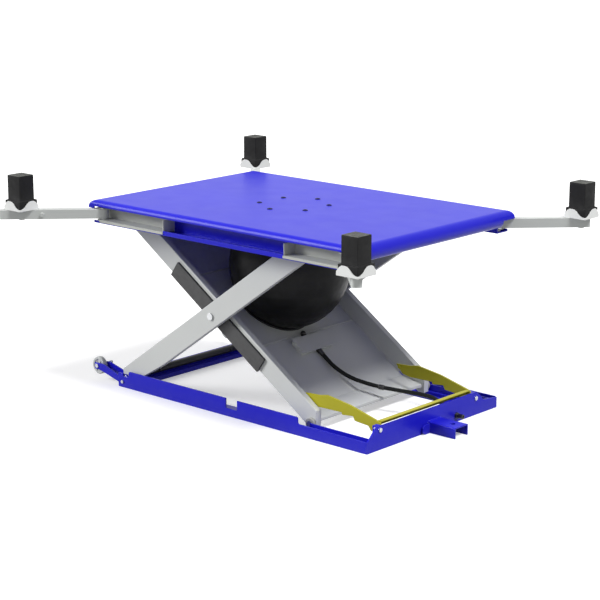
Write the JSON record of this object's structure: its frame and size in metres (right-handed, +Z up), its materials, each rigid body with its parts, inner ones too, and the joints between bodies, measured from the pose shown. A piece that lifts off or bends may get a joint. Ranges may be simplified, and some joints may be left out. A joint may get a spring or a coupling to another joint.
{
  "type": "mid-rise scissor car lift",
  "caption": "Portable mid-rise car lift with scissor legs, a flat deck, swing arms with rubber blocks, an air bag and a drop-in safety latch.",
  "frame": {"origin": "on the floor under the middle of the deck", "axes": "+X along the lift towards the tow hitch, +Y to the far side as pictured, +Z up"},
  "size_m": [2.087, 1.6778, 0.9918],
  "materials": {
    "frame_blue": "gloss blue powder coat",
    "leg_grey": "light grey powder coat",
    "pocket_grey": "light grey powder coat",
    "arm_grey": "satin light grey powder coat",
    "latch_yellow": "satin yellow powder coat",
    "holder_white": "pale grey powder coat",
    "block_rubber": "matt black solid rubber",
    "bag_rubber": "smooth black reinforced rubber",
    "hose_rubber": "satin black hose",
    "wear_plastic": "matt dark slide plate",
    "roller_plastic": "satin cast nylon",
    "wheel_plastic": "satin light grey moulded wheel",
    "pin_steel": "turned, zinc plated",
    "dark_steel": "blackened screw heads",
    "ring_steel": "black painted ring",
    "fitting_black": "black air fitting"
  },
  "bodies": {
    "base": {"rail_near": "frame_blue", "rail_far": "frame_blue", "front_plate": "frame_blue", "rear_cross_channel": "frame_blue", "tow_hitch": "frame_blue", "wheel_bracket_near": "frame_blue", "wheel_bracket_far": "frame_blue", "wheel_axles": "pin_steel", "base_pivot_pins": "pin_steel", "latch_pivot_blocks": "frame_blue", "latch_bolts": "pin_steel", "air_inlet": "fitting_black", "air_hose_front": "hose_rubber"},
    "wheel_near": {"transport_wheel_near": "wheel_plastic"},
    "wheel_far": {"transport_wheel_far": "wheel_plastic"},
    "outer_legs": {"outer_leg_near": "leg_grey", "outer_leg_far": "leg_grey", "outer_cross_tube": "leg_grey", "upper_axles": "pin_steel", "centre_pivot_bolts": "pin_steel"},
    "roller_upper_near": {"upper_roller_near": "roller_plastic"},
    "roller_upper_far": {"upper_roller_far": "roller_plastic"},
    "inner_frame": {"inner_leg_near": "leg_grey", "inner_leg_far": "leg_grey", "inner_plate": "leg_grey", "lower_cross_plate": "leg_grey", "wear_pads": "wear_plastic", "lower_axles": "pin_steel", "cover_box": "leg_grey", "air_elbow": "fitting_black", "bag_lower_ring": "ring_steel", "air_hose_rear": "hose_rubber", "airbag": "bag_rubber"},
    "roller_lower_near": {"lower_roller_near": "roller_plastic"},
    "roller_lower_far": {"lower_roller_far": "roller_plastic"},
    "platform": {"deck": "frame_blue", "side_channel_near": "frame_blue", "side_channel_far": "frame_blue", "deck_ribs": "frame_blue", "arm_pocket_front_near": "pocket_grey", "arm_pocket_front_far": "pocket_grey", "arm_pocket_rear_near": "pocket_grey", "arm_pocket_rear_far": "pocket_grey", "deck_bolts": "dark_steel", "bag_upper_ring": "ring_steel", "pivot_brackets": "frame_blue", "platform_pins": "pin_steel"},
    "arm_front_near": {"swing_arm_front_near": "arm_grey"},
    "pad_front_near": {"pad_holder_front_near": "holder_white", "rubber_block_front_near": "block_rubber"},
    "arm_front_far": {"swing_arm_front_far": "arm_grey"},
    "pad_front_far": {"pad_holder_front_far": "holder_white", "rubber_block_front_far": "block_rubber"},
    "arm_rear_near": {"swing_arm_rear_near": "arm_grey"},
    "pad_rear_near": {"pad_holder_rear_near": "holder_white", "rubber_block_rear_near": "block_rubber"},
    "arm_rear_far": {"swing_arm_rear_far": "arm_grey"},
    "pad_rear_far": {"pad_holder_rear_far": "holder_white", "rubber_block_rear_far": "block_rubber"},
    "latch": {"safety_latch": "latch_yellow"}
  },
  "joints": [
    {"name": "lift_fold", "type": "hinge", "parent": "base", "child": "outer_legs", "pos_m": [-0.668, 0, 0.045], "axis": [0, -1, 0], "range_deg": [-31.5, 0]},
    {"name": "inner_fold", "type": "hinge", "parent": "outer_legs", "child": "inner_frame", "pos_m": [-0.12498, 0, 0.42452], "axis": [0, 1, 0], "range_deg": [-63, 0], "deforming": ["air_hose_rear", "air_hose_front"]},
    {"name": "platform_level", "type": "hinge", "parent": "inner_frame", "child": "platform", "pos_m": [-0.668, 0, 0.80404], "axis": [0, -1, 0], "range_deg": [-31.5, 0], "deforming": ["airbag"]},
    {"name": "upper_roller_turn_near", "type": "hinge", "parent": "outer_legs", "child": "roller_upper_near", "pos_m": [0.41804, -0.44, 0.80404], "axis": [0, 1, 0], "continuous": true},
    {"name": "lower_roller_turn_near", "type": "hinge", "parent": "inner_frame", "child": "roller_lower_near", "pos_m": [0.41804, -0.387, 0.045], "axis": [0, 1, 0], "continuous": true},
    {"name": "wheel_turn_near", "type": "hinge", "parent": "base", "child": "wheel_near", "pos_m": [-0.854, -0.425, 0.069], "axis": [0, 1, 0], "continuous": true},
    {"name": "upper_roller_turn_far", "type": "hinge", "parent": "outer_legs", "child": "roller_upper_far", "pos_m": [0.41804, 0.44, 0.80404], "axis": [0, 1, 0], "continuous": true},
    {"name": "lower_roller_turn_far", "type": "hinge", "parent": "inner_frame", "child": "roller_lower_far", "pos_m": [0.41804, 0.387, 0.045], "axis": [0, 1, 0], "continuous": true},
    {"name": "wheel_turn_far", "type": "hinge", "parent": "base", "child": "wheel_far", "pos_m": [-0.854, 0.425, 0.069], "axis": [0, 1, 0], "continuous": true},
    {"name": "arm_swing_front_near", "type": "hinge", "parent": "platform", "child": "arm_front_near", "pos_m": [0.718, -0.5, 0.81], "axis": [0, 0, -1], "range_deg": [-45, 110]},
    {"name": "pad_turn_front_near", "type": "hinge", "parent": "arm_front_near", "child": "pad_front_near", "pos_m": [0.97609, -0.75809, 0.84], "axis": [0, 0, 1], "continuous": true},
    {"name": "arm_swing_front_far", "type": "hinge", "parent": "platform", "child": "arm_front_far", "pos_m": [0.718, 0.5, 0.81], "axis": [0, 0, 1], "range_deg": [-45, 110]},
    {"name": "pad_turn_front_far", "type": "hinge", "parent": "arm_front_far", "child": "pad_front_far", "pos_m": [0.97609, 0.75809, 0.84], "axis": [0, 0, 1], "continuous": true},
    {"name": "arm_swing_rear_near", "type": "hinge", "parent": "platform", "child": "arm_rear_near", "pos_m": [-0.718, -0.5, 0.81], "axis": [0, 0, 1], "range_deg": [-45, 110]},
    {"name": "pad_turn_rear_near", "type": "hinge", "parent": "arm_rear_near", "child": "pad_rear_near", "pos_m": [-0.97609, -0.75809, 0.84], "axis": [0, 0, 1], "continuous": true},
    {"name": "arm_swing_rear_far", "type": "hinge", "parent": "platform", "child": "arm_rear_far", "pos_m": [-0.718, 0.5, 0.81], "axis": [0, 0, -1], "range_deg": [-45, 110]},
    {"name": "pad_turn_rear_far", "type": "hinge", "parent": "arm_rear_far", "child": "pad_rear_far", "pos_m": [-0.97609, 0.75809, 0.84], "axis": [0, 0, 1], "continuous": true},
    {"name": "latch_drop", "type": "hinge", "parent": "base", "child": "latch", "pos_m": [0.755, 0, 0.09], "axis": [0, -1, 0], "range_deg": [0, 8]}
  ],
  "couplings": [
    {"joint": "inner_fold", "follows": "lift_fold", "ratio": 2},
    {"joint": "platform_level", "follows": "lift_fold", "ratio": 1}
  ]
}
